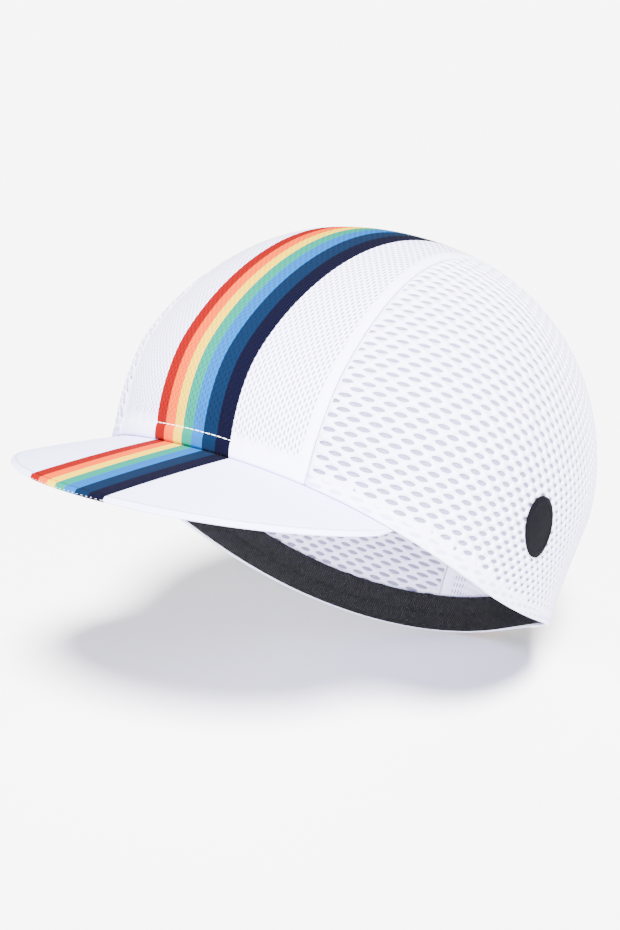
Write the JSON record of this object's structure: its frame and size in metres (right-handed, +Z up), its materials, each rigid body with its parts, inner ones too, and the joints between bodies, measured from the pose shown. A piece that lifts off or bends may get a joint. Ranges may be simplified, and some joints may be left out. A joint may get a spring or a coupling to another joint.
{
  "type": "cycling cap",
  "caption": "Cycling cap with a mesh crown in a centre strip and side panels, a short peak, an elastic band inside the rim and a striped centre",
  "frame": {"origin": "middle of the head opening, level with the mean height of the rim", "axes": "-Y is the front, +X the wearer's left and +Z up; the cap leans back as a head tipped up holds it, with its opening's plane 30 degrees from level, higher in front"},
  "size_m": [0.165, 0.2415, 0.1714],
  "materials": {
    "pinhole_mesh": "white polyester knit with fine pinholes and a printed stripe of seven colours",
    "eyelet_mesh": "white knit with staggered oval eyelets over a pale backing",
    "peak_cloth": "white close knit with a printed stripe of seven colours",
    "elastic": "black ribbed elastic with a lengthwise crease",
    "patch": "thin black heat-pressed film"
  },
  "bodies": {
    "root": {"centre_panel": "pinhole_mesh", "side_panel_left": "eyelet_mesh", "side_panel_right": "eyelet_mesh", "peak": "peak_cloth", "sweatband": "elastic", "badge": "patch"}
  },
  "joints": []
}
